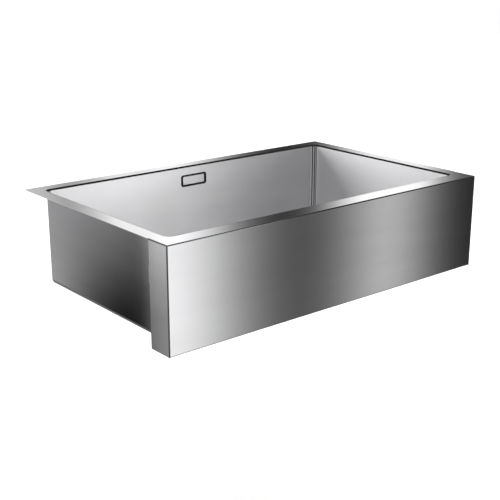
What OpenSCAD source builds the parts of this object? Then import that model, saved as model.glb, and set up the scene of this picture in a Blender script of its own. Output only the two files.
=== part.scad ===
// Apron-front inset kitchen sink in folded stainless sheet, with its seal, clamps, overflow and basket waste.
// Millimetres. The origin is the middle of the rim's footprint, on the worktop's surface. X runs to the right,
// Y to the back and Z up.

/* [Deck] */
// Width of the rim, side to side
deck_w = 800; // [700:1:900]
// Depth of the rim, from the apron's face to the back edge
deck_d = 500; // [460:1:560]
// Gauge of the steel sheet
sheet = 1.2; // [0.8:0.1:1.5]
// Flat land beside the bowl, left and right
side_land = 30; // [28:1:45]
// Flat land behind the bowl
back_land = 30; // [29:1:45]
// Flat land in front of the bowl
front_land = 40; // [30:1:60]
// Radius of the rim's outer corners
deck_corner_r = 2; // [1:0.5:6]

/* [Bowl] */
// Depth of the bowl, from the rim's top to the floor
bowl_depth = 196; // [160:1:220]
// Inner radius of the bowl's upright corners
corner_r = 12; // [10:1:25]
// Inner radius of the bend from wall to floor
floor_r = 9; // [5:0.5:9]
// Width of the overflow slot in the back wall
slot_w = 66; // [60:1:80]
// Height of the overflow slot
slot_h = 23; // [20:1:26]
// Corner radius of the overflow slot
slot_r = 3.5; // [1:0.5:6]
// Depth of the slot's middle below the rim's top
slot_drop = 33.5; // [28:0.5:50]

/* [Apron] */
// Height of the apron, from the rim's top to its lower edge
apron_h = 200; // [170:1:230]
// Depth of the apron's side returns
return_d = 56; // [50:1:58]
// Width of the lip along each return's rear edge
return_lip = 12; // [6:1:13]
// Outer radius of the apron's folds
fold_r = 2; // [1.6:0.1:4]
// Depth of the flange along the apron's lower edge
foot_d = 20; // [16:1:26]
// Distance between the two screw holes in that flange
foot_hole_pitch = 600; // [400:10:640]
// Radius of those holes
foot_hole_r = 2.25; // [1.5:0.05:3]
// Distance between neighbouring braces behind the apron
brace_pitch = 240; // [150:5:300]
// Height of each brace
brace_h = 120; // [60:1:140]
// Width of each brace's two welded flanges
brace_flange = 20; // [12:1:30]

/* [Seal and pads] */
// Thickness of the foam seal under the rim, pressed down
seal_t = 1; // [0.5:0.1:2]
// Width of the foam seal
seal_w = 10; // [6:0.5:11]
// Distance from the rim's edge to the seal
seal_inset = 3; // [1:0.5:4]
// Width of each sound pad under the floor
pad_w = 250; // [180:5:260]
// Depth of each sound pad
pad_d = 330; // [200:5:360]
// Thickness of a sound pad
pad_t = 2.5; // [1.5:0.1:4]
// Corner radius of a sound pad
pad_r = 12; // [4:1:30]
// Distance from the bowl's middle to the near edge of a pad
pad_from_middle = 80; // [66:1:90]
// Width of the earthing tag under the floor
tag_w = 14; // [10:1:20]
// Height of the earthing tag
tag_h = 16; // [12:1:20]
// Radius of the earthing tag's hole
tag_hole_r = 2.65; // [2:0.05:3]
// Distance from the bowl's front wall to the earthing tag
tag_from_front = 90; // [60:1:120]

/* [Overflow] */
// Width of the cover plate that fills the slot
cover_w = 58; // [50:1:58]
// Height of the cover plate
cover_h = 18; // [12:1:18]
// Thickness of the cover plate
cover_t = 1.5; // [1:0.1:2.5]
// Corner radius of the cover plate
cover_r = 1; // [0.5:0.1:3]
// Distance that the cover lies behind the wall's face
cover_inset = 0.2; // [0:0.1:0.5]
// Radius of the cover's two pins
cover_pin_r = 2; // [1.5:0.1:2.5]
// Distance between the cover's two pins
cover_pin_pitch = 44; // [36:1:46]
// Thickness of the rubber gasket behind the wall
gasket_t = 1.5; // [1:0.1:2]
// Width of the gasket's and housing's flange beside the slot
flange_side = 14; // [13:0.5:20]
// Height of the gasket's and housing's flange above and below the slot
flange_end = 7; // [5:0.5:9]
// Thickness of the housing's flange
flange_t = 3; // [2:0.1:4]
// Wall of the plastic housing
housing_wall = 1.8; // [1.5:0.1:1.8]
// Radius of the weld studs that hold the housing
stud_r = 2; // [1.5:0.1:2.5]
// Length of the weld studs
stud_l = 12; // [10:0.5:16]
// Outer radius of the overflow pipe
pipe_r = 9.3; // [8.5:0.1:9.5]
// Wall of the overflow pipe
pipe_wall = 1.8; // [1.5:0.1:2]
// Radius of the pipe's bend, at its middle line
pipe_bend = 24; // [16:1:30]
// Length of pipe pushed over each spigot
pipe_grip = 12; // [12:0.5:16]
// Wall of those spigots
spigot_wall = 1.8; // [1.7:0.1:2.2]
// Thickness of a pipe clip's band
clip_t = 1; // [0.6:0.1:1.2]
// Width of a pipe clip's band
clip_w = 8; // [6:0.5:9]

/* [Waste] */
// Distance from the bowl's back wall to the waste's middle
waste_from_back = 120; // [100:1:150]
// Radius of the hole in the bowl's floor
waste_hole_r = 44.5; // [44:0.1:45.5]
// Radius of the pressed recess round that hole
recess_r = 58; // [57:0.5:60]
// Depth of the pressed recess
recess_d = 3; // [2.5:0.1:5]
// Radius of the waste's steel flange
cup_flange_r = 56.5; // [54:0.5:56.5]
// Outer radius of the steel cup
cup_r = 42; // [41:0.1:43]
// Depth of the steel cup, from its flange
cup_depth = 34; // [30:0.5:40]
// Gauge of the steel cup
cup_t = 1; // [0.8:0.1:1.2]
// Thickness of the seal under the steel flange
cup_seal_t = 1.5; // [1:0.1:2]
// Radius of each drain hole in the cup's floor
drain_hole_r = 5; // [4:0.1:5]
// Distance of the drain holes from the cup's middle
drain_ring_r = 15; // [14.5:0.1:15.5]
// Thickness of the seal under the bowl's floor
body_seal_t = 3; // [2:0.1:4]
// Wall of the plastic waste body
body_wall = 3; // [2.5:0.1:4]
// Inner radius of the waste body's chamber
chamber_r = 47; // [46:0.5:48]
// Height of the waste body's chamber below its flange
chamber_h = 33; // [32:0.5:40]
// Radius of the waste body's flange
body_flange_r = 57; // [55:0.5:60]
// Thickness of the waste body's flange
body_flange_t = 4; // [3:0.1:6]
// Height of the cone between chamber and outlet
cone_h = 14; // [10:0.5:20]
// Outer radius of the outlet's pipe thread
outlet_r = 23.9; // [20:0.1:25]
// Wall of the outlet
outlet_wall = 3.4; // [2.5:0.1:4]
// Length of the outlet's pipe thread
outlet_l = 20; // [14:0.5:30]
// Radius of the boss that takes the centre screw
boss_r = 8; // [7:0.1:9]
// Thickness of the four ribs that carry the boss
rib_t = 3; // [2:0.1:4]
// Radius of the centre screw
centre_screw_r = 3; // [2.5:0.1:3.5]
// Radius of the centre screw's head
centre_head_r = 6; // [5.5:0.1:7]
// Height of the centre screw's head
centre_head_h = 2.5; // [2:0.1:3]
// Height of the centre screw's nut
centre_nut_h = 5; // [4:0.1:7]

/* [Basket] */
// Outer radius of the strainer basket's wall
basket_r = 38; // [36:0.1:38.5]
// Height of the strainer basket
basket_h = 22; // [18:0.5:24]
// Gauge of the strainer basket
basket_t = 0.8; // [0.6:0.1:1]
// Overhang of the basket's rolled rim
basket_rim = 2.2; // [1:0.1:2.3]
// Outer radius of the rubber stopper under the basket
stopper_r = 27; // [26:0.1:28]
// Inner radius of the rubber stopper
stopper_inner_r = 22; // [21.5:0.1:23]
// Height of the rubber stopper
stopper_h = 5; // [4:0.1:6]
// Number of holes in each row of the basket
basket_holes = 20; // [12:2:24]
// Radius of each of those holes
basket_hole_r = 2; // [1:0.1:2.4]
// Radius of the basket's stem
stem_r = 3.5; // [2.5:0.1:5]
// Radius of the knob on the stem
knob_r = 11; // [8:0.5:14]
// Height of the knob
knob_h = 6; // [4:0.5:8]
// Height of the stem under the knob
stem_h = 22; // [18:0.5:26]

/* [Clamps] */
// Distance from the bowl's side wall to the nearer rear clamp
clamp_from_side = 80; // [60:5:90]
// Distance from that clamp to the next one along the back wall
clamp_spacing = 170; // [120:5:180]
// Distance from the apron's lip to the side clamps' screws
clamp_from_lip = 7.5; // [7.5:0.1:12]
// Distance from the bowl's wall to a clamp's screw
clamp_axis = 7; // [6.8:0.1:8]
// Thickness of the clamp's folded steel
clamp_t = 1.5; // [1:0.1:1.8]
// Width of a clamp's bracket
bracket_w = 13; // [11:0.5:14]
// Height of the bracket's welded back
bracket_h = 26; // [18:0.5:28]
// Depth of the bracket's threaded ear below the worktop's surface
ear_drop = 38; // [36:0.5:44]
// Height of the threaded collar under the ear
collar_h = 5; // [3:0.5:8]
// Radius of the clamp screw
clamp_screw_r = 3; // [2.5:0.1:3.5]
// Length of the clamp screw, under its head
clamp_screw_l = 55; // [54:0.5:62]
// Width across the flats of a clamp screw's head
screw_head_af = 10; // [8:0.5:11]
// Height of a clamp screw's head
screw_head_h = 4; // [3:0.1:5]
// Thickness of the washer under the jaw
washer_t = 1.5; // [1:0.1:2]
// Thickness of the jaw
jaw_t = 2.5; // [2:0.1:3]
// Width of the jaw
jaw_w = 9.5; // [8:0.5:10.5]
// Distance from the screw to the jaw's outer face
jaw_reach = 18; // [17:0.1:21]
// Height of the jaw, from its foot to its gripping edge
jaw_h = 36; // [26:0.5:36]

/* [Hidden] */
$fn = 64;
// Radial clearance of a screw in its thread, a pin in its socket and a spigot in its pipe
slip = 0.05;
// Radial clearance of a bolt in its hole
bolt_play = 0.2;
// Clearance between pieces that move past each other
play = 0.3;
// Clearance under a part that turns on another
turn_play = 0.1;
// Least gap between a fixed piece and the wall beside it
wall_gap = 0.5;
// Overrun of a cut past the face that it opens
past = 1;
// Overlap of the bend's and the recess's sections with the flat floor
floor_lap = 0.5;

// Levels, from the worktop's surface at Z = 0
deck_top = seal_t + sheet;
floor_z = deck_top - bowl_depth;
apron_z = deck_top - apron_h;
recess_z = floor_z - recess_d;

// The bowl's opening and the middle of it
bowl_w = deck_w - 2 * side_land;
bowl_d = deck_d - front_land - back_land;
bowl_y = (front_land - back_land) / 2;
front_y = -deck_d / 2;
bowl_back = bowl_y + bowl_d / 2;
bowl_front = bowl_y - bowl_d / 2;
lip_y = front_y + return_d;

// The overflow, behind the back wall
slot_z = deck_top - slot_drop;
gasket_y = bowl_back + sheet;
housing_y = gasket_y + gasket_t;
duct_w = slot_w + 2;
duct_h = slot_h + 2;
flange_w = slot_w + 2 * flange_side;
flange_h = slot_h + 2 * flange_end;
stud_x = slot_w / 2 + flange_side / 2;
spigot_r = pipe_r - pipe_wall;
pipe_y = gasket_y + wall_gap + clip_t + pipe_r;
housing_back = pipe_y + spigot_r + 0.2;
spigot_z = slot_z - flange_h / 2 - wall_gap - pipe_grip;
pipe_stop = 2;
clip_from_mouth = 2;
cover_front = bowl_back + cover_inset;
cover_pin_end = housing_back - housing_wall - 1;
socket_y = cover_pin_end - 7;

// The waste, under the floor
waste_y = bowl_back - waste_from_back;
cup_flange_z = recess_z + cup_seal_t;
cup_floor_z = cup_flange_z - cup_depth;
body_z = recess_z - sheet - body_seal_t;
chamber_z = body_z - body_flange_t - chamber_h;
outlet_z = chamber_z - cone_h;
boss_z = outlet_z;
screw_tip_z = boss_z - centre_nut_h - 2;
inlet_z = body_z - body_flange_t - wall_gap - clip_t - pipe_r;
inlet_y = waste_y + chamber_r + body_wall + pipe_stop + pipe_grip;
basket_z = cup_floor_z + cup_t + play + stopper_h;

// One clamp, measured from the bowl's outer face
ear_z = -ear_drop - clamp_t;
screw_tip = -ear_drop + 1;
washer_z = screw_tip - clamp_screw_l + turn_play;
jaw_z = washer_z + washer_t + turn_play;
washer_r = clamp_axis - 0.6;
clamp_side_y = lip_y + clamp_from_lip;
clamp_outer_x = bowl_w / 2 - clamp_from_side;
clamp_inner_x = clamp_outer_x - clamp_spacing;
// Each clamp's name, place, turn about Z, and whether it is the mirrored hand
CLAMPS = [
    ["clamp_rear_1", [-clamp_outer_x, bowl_back + sheet], 0, 1],
    ["clamp_rear_2", [-clamp_inner_x, bowl_back + sheet], 0, 1],
    ["clamp_rear_3", [clamp_inner_x, bowl_back + sheet], 0, 0],
    ["clamp_rear_4", [clamp_outer_x, bowl_back + sheet], 0, 0],
    ["clamp_left", [-bowl_w / 2 - sheet, clamp_side_y], 90, 0],
    ["clamp_right", [bowl_w / 2 + sheet, clamp_side_y], -90, 1]
];

steel = [0.74, 0.74, 0.75];
rubber = [0.12, 0.12, 0.12];
plastic = [0.2, 0.2, 0.21];
zinc = [0.62, 0.64, 0.66];
brass = [0.78, 0.62, 0.3];

module rounded_rect(w, d, r) {
    square([w - 2 * r, d], center = true);
    square([w, d - 2 * r], center = true);
    for (x = [-1, 1], y = [-1, 1]) translate([x * (w / 2 - r), y * (d / 2 - r)]) circle(r);
}

// A plate standing in the XZ plane, its front face at y and its thickness to the back
module upright(y, t) {
    translate([0, y + t, slot_z]) rotate([90, 0, 0]) linear_extrude(height = t) children();
}

module ring(outer, inner, h) {
    linear_extrude(height = h) difference() {
        circle(outer);
        circle(inner);
    }
}

module hexagon(af, h) {
    cylinder(h = h, r = af / 2 / cos(30), $fn = 6);
}

// Room beside the wall and above the floor, round at the bend, grown by the sheet for the outer face
module wall_room(grow, top) {
    inner = floor_r + floor_lap;
    intersection() {
        translate([-inner, floor_z - grow]) square([inner + grow, top - floor_z + grow]);
        union() {
            translate([-inner, floor_z + floor_r]) square([inner + grow, top - floor_z]);
            translate([-inner, floor_z - grow]) square([floor_lap, top - floor_z]);
            translate([-floor_r, floor_z + floor_r]) circle(floor_r + grow);
        }
    }
}

// Section of the bowl's wall and of its bend to the floor, with the wall's inner face at x = 0
module wall_section() {
    difference() {
        wall_room(sheet, seal_t);
        wall_room(0, seal_t + past);
    }
}

module wall_run(length, out, turn) {
    rotate([0, 0, turn]) translate([out, 0, 0]) rotate([90, 0, 0])
        linear_extrude(height = length, center = true) wall_section();
}

// Flat of the bowl's floor, open for the pressed recess
module floor_flat() {
    difference() {
        translate([0, bowl_y])
            rounded_rect(bowl_w - 2 * floor_r, bowl_d - 2 * floor_r, corner_r - floor_r);
        translate([0, waste_y]) circle(recess_r + recess_d);
    }
}

// Section of the recess's slope and of its flat rim round the hole, with a lap on the flat floor
module recess_section() {
    polygon([
        [recess_r + recess_d + floor_lap, floor_z],
        [recess_r + recess_d, floor_z],
        [recess_r, recess_z],
        [waste_hole_r, recess_z],
        [waste_hole_r, recess_z - sheet],
        [recess_r, recess_z - sheet],
        [recess_r + recess_d, floor_z - sheet],
        [recess_r + recess_d + floor_lap, floor_z - sheet]
    ]);
}

module bowl() {
    corners = [[1, 1, 0], [-1, 1, 90], [-1, -1, 180], [1, -1, 270]];
    color(steel) difference() {
        union() {
            translate([0, bowl_y, 0]) {
                for (turn = [0, 180]) wall_run(bowl_d - 2 * corner_r, bowl_w / 2, turn);
                for (turn = [90, 270]) wall_run(bowl_w - 2 * corner_r, bowl_d / 2, turn);
                for (c = corners)
                    translate([c[0] * (bowl_w / 2 - corner_r), c[1] * (bowl_d / 2 - corner_r), 0])
                        rotate([0, 0, c[2]])
                            rotate_extrude(angle = 90) translate([corner_r, 0]) wall_section();
            }
            translate([0, 0, floor_z - sheet]) linear_extrude(height = sheet) floor_flat();
            translate([0, waste_y, 0]) rotate_extrude() recess_section();
        }
        upright(bowl_back - past, sheet + 2 * past) rounded_rect(slot_w, slot_h, slot_r);
    }
}

module deck() {
    color(steel) translate([0, 0, seal_t]) linear_extrude(height = sheet) difference() {
        rounded_rect(deck_w, deck_d, deck_corner_r);
        translate([0, bowl_y]) rounded_rect(bowl_w, bowl_d, corner_r);
    }
}

// Plan of the apron's sheet: face, two returns, and a lip along each return's rear edge
module apron_plan() {
    open_w = deck_w - 2 * return_lip;
    difference() {
        translate([0, front_y + return_d / 2]) difference() {
            rounded_rect(deck_w, return_d, fold_r);
            rounded_rect(deck_w - 2 * sheet, return_d - 2 * sheet, fold_r - sheet);
        }
        translate([-open_w / 2, lip_y - 2 * sheet]) square([open_w, 4 * sheet]);
    }
}

module apron() {
    color(steel) difference() {
        union() {
            translate([0, 0, apron_z]) linear_extrude(height = seal_t - apron_z) apron_plan();
            translate([-deck_w / 2 + sheet / 2, front_y + sheet / 2, apron_z])
                cube([deck_w - sheet, foot_d - sheet / 2, sheet]);
        }
        for (side = [-1, 1])
            translate([side * foot_hole_pitch / 2, front_y + (foot_d + sheet) / 2, apron_z - past])
                cylinder(h = sheet + 2 * past, r = foot_hole_r);
    }
}

// Z-shaped braces, welded to the apron's back and to the bowl's front wall
module apron_braces() {
    gap = bowl_front - front_y - 2 * sheet;
    brace_z = (seal_t + apron_z - brace_h) / 2;
    color(zinc) for (k = [-1, 0, 1])
        translate([k * brace_pitch, front_y + sheet, brace_z]) linear_extrude(height = brace_h) {
            translate([-brace_flange, 0]) square([brace_flange, sheet]);
            translate([-sheet / 2, 0]) square([sheet, gap]);
            translate([0, gap - sheet]) square([brace_flange, sheet]);
        }
}

// Foam strip under the rim along both sides and the back, from behind the apron
module deck_seal() {
    outer_x = deck_w / 2 - seal_inset;
    inner_x = outer_x - seal_w;
    start_y = lip_y + seal_inset;
    run = deck_d / 2 - seal_inset - start_y;
    color(rubber) linear_extrude(height = seal_t) difference() {
        translate([-outer_x, start_y]) square([2 * outer_x, run]);
        translate([-inner_x, start_y - past]) square([2 * inner_x, run + past - seal_w]);
    }
}

module floor_pad(side) {
    color(rubber) translate([side * (pad_from_middle + pad_w / 2), bowl_y, floor_z - sheet - pad_t])
        linear_extrude(height = pad_t) rounded_rect(pad_w, pad_d, pad_r);
}

module earth_tag() {
    color(zinc) translate([0, bowl_front + tag_from_front, floor_z - sheet]) difference() {
        union() {
            translate([-tag_w / 2, 0, -sheet]) cube([tag_w, tag_w, sheet]);
            translate([-tag_w / 2, 0, -tag_h]) cube([tag_w, sheet, tag_h]);
        }
        translate([0, sheet + past, -tag_h + tag_w / 2 - 1]) rotate([90, 0, 0])
            cylinder(h = sheet + 2 * past, r = tag_hole_r);
    }
}

// A pair of rods along Y from y0 to y1, at the same distance either side of the slot's middle
module slot_rods(x, y0, y1, r) {
    for (side = [-1, 1]) translate([side * x, y1, slot_z]) rotate([90, 0, 0]) cylinder(h = y1 - y0, r = r);
}

// Plate in the slot, pushed by two pins into the housing's sockets
module overflow_cover() {
    color(steel) {
        upright(cover_front, cover_t) rounded_rect(cover_w, cover_h, cover_r);
        slot_rods(cover_pin_pitch / 2, cover_front + cover_t / 2, cover_pin_end, cover_pin_r);
    }
}

// Flange round the slot with a hole for each weld stud, for the gasket and the housing
module stud_flange() {
    difference() {
        rounded_rect(flange_w, flange_h, slot_r);
        for (side = [-1, 1]) translate([side * stud_x, 0]) circle(stud_r + bolt_play);
    }
}

module overflow_gasket() {
    color(rubber) upright(gasket_y, gasket_t) difference() {
        stud_flange();
        rounded_rect(duct_w, duct_h, slot_r);
    }
}

// Plastic box behind the slot, with two sockets for the cover's pins and a spigot down to the pipe
module overflow_housing() {
    depth = housing_back - housing_y;
    socket_r = cover_pin_r + 2;
    color(plastic) difference() {
        union() {
            upright(housing_y, flange_t) stud_flange();
            upright(housing_y, depth)
                rounded_rect(duct_w + 2 * housing_wall, duct_h + 2 * housing_wall, slot_r);
            translate([0, pipe_y, spigot_z]) cylinder(h = slot_z - spigot_z, r = spigot_r);
        }
        difference() {
            upright(housing_y - past, depth + past - housing_wall) rounded_rect(duct_w, duct_h, slot_r);
            slot_rods(cover_pin_pitch / 2, socket_y, housing_back, socket_r);
        }
        slot_rods(cover_pin_pitch / 2, housing_y, housing_back - housing_wall, cover_pin_r + slip);
        translate([0, pipe_y, spigot_z - past])
            cylinder(h = slot_z - spigot_z + past, r = spigot_r - spigot_wall);
    }
}

module overflow_studs() {
    color(steel) slot_rods(stud_x, gasket_y, gasket_y + stud_l, stud_r);
}

module overflow_stud_nuts() {
    nut_y = housing_y + flange_t;
    nut_h = 3.2;
    nut_af = 7;
    color(zinc) difference() {
        for (side = [-1, 1]) translate([side * stud_x, nut_y + nut_h, slot_z])
            rotate([90, 0, 0]) hexagon(nut_af, nut_h);
        slot_rods(stud_x, nut_y - past, nut_y + nut_h + past, stud_r + slip);
    }
}

// The pipe's line from the housing down the back wall and forward to the waste body
module pipe_line(r) {
    bend_z = inlet_z + pipe_bend;
    translate([0, pipe_y, bend_z]) cylinder(h = spigot_z + pipe_grip - bend_z, r = r);
    translate([0, pipe_y - pipe_bend, bend_z]) rotate([0, 90, 0])
        rotate_extrude(angle = 90) translate([pipe_bend, 0]) circle(r);
    translate([0, pipe_y - pipe_bend, inlet_z]) rotate([90, 0, 0])
        cylinder(h = pipe_y - pipe_bend - inlet_y + pipe_grip, r = r);
}

module overflow_pipe() {
    color(plastic) difference() {
        pipe_line(pipe_r);
        pipe_line(spigot_r + slip);
    }
}

// A clip's band, with the block of its screw at the side
module pipe_clip() {
    block_w = 8;
    block_reach = 6;
    difference() {
        union() {
            cylinder(h = clip_w, r = pipe_r + clip_t);
            translate([pipe_r - 1, -block_w / 2, 0]) cube([clip_t + block_reach, block_w, clip_w]);
        }
        translate([0, 0, -past]) cylinder(h = clip_w + 2 * past, r = pipe_r + slip);
    }
}

module overflow_pipe_clips() {
    color(steel) {
        translate([0, pipe_y, spigot_z + clip_from_mouth]) pipe_clip();
        translate([0, inlet_y - clip_from_mouth, inlet_z]) rotate([90, 0, 0]) pipe_clip();
    }
}

// Steel cup: floor, wall and flange in one section, with the screw's hole and six drain holes
module strainer_cup() {
    color(steel) translate([0, waste_y, 0]) difference() {
        translate([0, 0, cup_floor_z]) rotate_extrude() {
            square([cup_r, cup_t]);
            translate([cup_r - cup_t, 0]) square([cup_t, cup_depth + cup_t]);
            translate([cup_r - cup_t, cup_depth]) square([cup_flange_r - cup_r + cup_t, cup_t]);
        }
        translate([0, 0, cup_floor_z - past])
            cylinder(h = cup_t + 2 * past, r = centre_screw_r + bolt_play);
        for (k = [0:5]) rotate([0, 0, 60 * k]) translate([drain_ring_r, 0, cup_floor_z - past])
            cylinder(h = cup_t + 2 * past, r = drain_hole_r);
    }
}

module cup_seal() {
    color(rubber) translate([0, waste_y, recess_z]) ring(cup_flange_r - 1, waste_hole_r + 0.5, cup_seal_t);
}

module body_seal() {
    color(rubber) translate([0, waste_y, body_z]) ring(body_flange_r - 1, chamber_r, body_seal_t);
}

// Outside of the plastic body: flange, chamber, cone and side inlet
module body_outside() {
    translate([0, 0, body_z - body_flange_t]) cylinder(h = body_flange_t, r = body_flange_r);
    translate([0, 0, chamber_z]) cylinder(h = body_z - chamber_z, r = chamber_r + body_wall);
    translate([0, 0, outlet_z]) cylinder(h = cone_h, r1 = outlet_r, r2 = chamber_r + body_wall);
    translate([0, inlet_y - waste_y, inlet_z]) rotate([90, 0, 0])
        cylinder(h = inlet_y - waste_y, r = spigot_r);
}

module body_inside() {
    translate([0, 0, chamber_z]) cylinder(h = body_z - chamber_z + past, r = chamber_r);
    translate([0, 0, outlet_z]) cylinder(h = cone_h, r1 = outlet_r - outlet_wall, r2 = chamber_r);
    translate([0, 0, outlet_z - past]) cylinder(h = 2 * past, r = outlet_r - outlet_wall);
}

// Boss for the centre screw, on four ribs across the cone
module screw_boss() {
    translate([0, 0, boss_z]) cylinder(h = cup_floor_z - boss_z, r = boss_r);
    for (turn = [45, 135]) rotate([0, 0, turn])
        translate([-chamber_r - 1, -rib_t / 2, outlet_z]) cube([2 * chamber_r + 2, rib_t, cone_h]);
}

module waste_body() {
    color(plastic) translate([0, waste_y, 0]) difference() {
        body_outside();
        difference() {
            body_inside();
            screw_boss();
        }
        translate([0, 0, boss_z - past])
            cylinder(h = cup_floor_z - boss_z + 2 * past, r = centre_screw_r + bolt_play);
        translate([0, inlet_y - waste_y + past, inlet_z]) rotate([90, 0, 0])
            cylinder(h = inlet_y - waste_y - cup_r + past, r = spigot_r - spigot_wall);
    }
}

// Threaded outlet, welded to the cone's lower edge
module waste_tail() {
    color(plastic) translate([0, waste_y, outlet_z - outlet_l])
        ring(outlet_r, outlet_r - outlet_wall, outlet_l);
}

module centre_screw() {
    head_z = cup_floor_z + cup_t;
    color(steel) translate([0, waste_y, 0]) {
        translate([0, 0, head_z]) cylinder(h = centre_head_h, r = centre_head_r);
        translate([0, 0, screw_tip_z]) cylinder(h = head_z - screw_tip_z, r = centre_screw_r);
    }
}

module centre_nut() {
    nut_af = 10;
    color(brass) translate([0, waste_y, boss_z - centre_nut_h]) difference() {
        hexagon(nut_af, centre_nut_h);
        translate([0, 0, -past]) cylinder(h = centre_nut_h + 2 * past, r = centre_screw_r + slip);
    }
}

// Strainer basket: a rolled rim, a wall and a floor with a row of holes each
module basket() {
    hole_ring = (stopper_r + basket_r) / 2;
    color(steel) translate([0, waste_y, basket_z]) difference() {
        union() {
            ring(basket_r, basket_r - basket_t, basket_h);
            cylinder(h = basket_t, r = basket_r - basket_t);
            translate([0, 0, basket_h - basket_t]) ring(basket_r + basket_rim, basket_r - basket_t, basket_t);
        }
        for (k = [0:basket_holes - 1]) rotate([0, 0, 360 / basket_holes * k]) {
            translate([hole_ring, 0, -past]) cylinder(h = basket_t + 2 * past, r = basket_hole_r);
            translate([basket_r + past, 0, basket_h / 2]) rotate([0, -90, 0])
                cylinder(h = basket_t + 2 * past, r = basket_hole_r);
        }
    }
}

module basket_stem() {
    color(steel) translate([0, waste_y, basket_z + basket_t]) rotate_extrude() {
        square([stem_r, stem_h]);
        translate([0, stem_h]) square([knob_r, knob_h - 1]);
        translate([0, stem_h + knob_h - 1]) square([knob_r - 1, 1]);
    }
}

module stopper_seal() {
    color(rubber) translate([0, waste_y, basket_z - stopper_h]) ring(stopper_r, stopper_inner_r, stopper_h);
}

// Stands a clamp's piece at its place, with +Y out from the bowl's wall and +X along it
module at_clamp(c) {
    translate([c[1][0], c[1][1], 0]) rotate([0, 0, c[2]]) mirror([c[3], 0, 0]) children();
}

// Angle welded to the wall, with a threaded collar under its ear
module clamp_bracket() {
    color(zinc) difference() {
        union() {
            translate([-bracket_w / 2, 0, ear_z]) cube([bracket_w, clamp_t, bracket_h]);
            translate([-bracket_w / 2, 0, ear_z]) cube([bracket_w, clamp_axis + bracket_w / 2 - 1, clamp_t]);
            translate([0, clamp_axis, ear_z - collar_h]) cylinder(h = collar_h, r = clamp_screw_r + 2);
        }
        translate([0, clamp_axis, ear_z - collar_h - past])
            cylinder(h = clamp_t + collar_h + 2 * past, r = clamp_screw_r + slip);
    }
}

module clamp_screw() {
    color(steel) translate([0, clamp_axis, screw_tip - clamp_screw_l]) {
        cylinder(h = clamp_screw_l, r = clamp_screw_r);
        translate([0, 0, -screw_head_h]) hexagon(screw_head_af, screw_head_h);
    }
}

module clamp_washer() {
    color(zinc) translate([0, clamp_axis, washer_z]) ring(washer_r, clamp_screw_r + slip, washer_t);
}

// Jaw with a foot round the screw and an upright finger, parked along the wall
module clamp_jaw() {
    color(zinc) translate([0, clamp_axis, jaw_z]) difference() {
        union() {
            cylinder(h = jaw_t, r = jaw_w / 2);
            translate([0, -jaw_w / 2, 0]) cube([jaw_reach, jaw_w, jaw_t]);
            translate([jaw_reach - jaw_t, -jaw_w / 2, 0]) cube([jaw_t, jaw_w, jaw_h]);
        }
        translate([0, 0, -past]) cylinder(h = jaw_t + 2 * past, r = clamp_screw_r + slip);
    }
}

bowl();
deck();
apron();
apron_braces();
deck_seal();
floor_pad(-1);  // floor_pad_left
floor_pad(1);  // floor_pad_right
earth_tag();
overflow_cover();
overflow_gasket();
overflow_housing();
overflow_studs();
overflow_stud_nuts();
overflow_pipe();
overflow_pipe_clips();
strainer_cup();
cup_seal();
waste_body();
waste_tail();
body_seal();
centre_screw();
centre_nut();
basket();
basket_stem();
stopper_seal();
for (c = CLAMPS) {
    at_clamp(c) clamp_bracket();
    at_clamp(c) clamp_washer();
    at_clamp(c) clamp_screw();
    at_clamp(c) clamp_jaw();
}
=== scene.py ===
import math

import bmesh
import bpy
from mathutils import Matrix, Vector


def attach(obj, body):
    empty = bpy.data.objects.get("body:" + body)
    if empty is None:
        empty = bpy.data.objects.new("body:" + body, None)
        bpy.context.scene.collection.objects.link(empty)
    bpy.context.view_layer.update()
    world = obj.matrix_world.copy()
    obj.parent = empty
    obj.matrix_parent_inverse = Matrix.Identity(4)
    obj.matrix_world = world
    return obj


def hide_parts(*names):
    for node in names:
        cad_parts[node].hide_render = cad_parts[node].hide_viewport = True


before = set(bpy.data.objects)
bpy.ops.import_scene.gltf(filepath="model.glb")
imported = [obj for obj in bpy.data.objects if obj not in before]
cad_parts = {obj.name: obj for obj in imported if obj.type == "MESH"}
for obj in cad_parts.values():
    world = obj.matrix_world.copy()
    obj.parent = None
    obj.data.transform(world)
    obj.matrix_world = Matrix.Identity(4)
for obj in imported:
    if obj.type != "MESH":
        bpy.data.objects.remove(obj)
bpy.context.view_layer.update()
scene = bpy.context.scene
scene.view_settings.view_transform = "Standard"

# Camera: its place, direction and lens were fitted to the corners of the rim, the bowl and the apron in
# the square photograph. It looks a little down on the sink from the front left.
azimuth = math.radians(-39.48)
elevation = math.radians(17.36)
camera = bpy.data.objects.new("camera", bpy.data.cameras.new("camera"))
camera.data.lens = 70.18
camera.data.sensor_width = 36
camera.data.clip_start = 0.05
camera.data.clip_end = 60
camera.location = (-1.2641, -1.5137, 0.4718)
back = Vector((
    math.sin(azimuth) * math.cos(elevation),
    -math.cos(azimuth) * math.cos(elevation),
    math.sin(elevation),
))
camera.rotation_euler = back.to_track_quat("Z", "Y").to_euler()
scene.collection.objects.link(camera)
scene.camera = camera


# Studio: a world of soft upright panels, bright and dark by turns round the object, because steel shows
# what stands round it. Each quarter has panels of its own, from 0 degrees at the side to 90 in front or
# behind, and they change with the height. The camera itself sees plain white.
def link(tree, source, target):
    tree.links.new(source, target)


def maths(tree, operation, a, b=None, c=None):
    node = tree.nodes.new("ShaderNodeMath")
    node.operation = operation
    for socket, value in zip(node.inputs, (a, b, c)):
        if value is None:
            continue
        if isinstance(value, (int, float)):
            socket.default_value = value
        else:
            link(tree, value, socket)
    return node.outputs[0]


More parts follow.
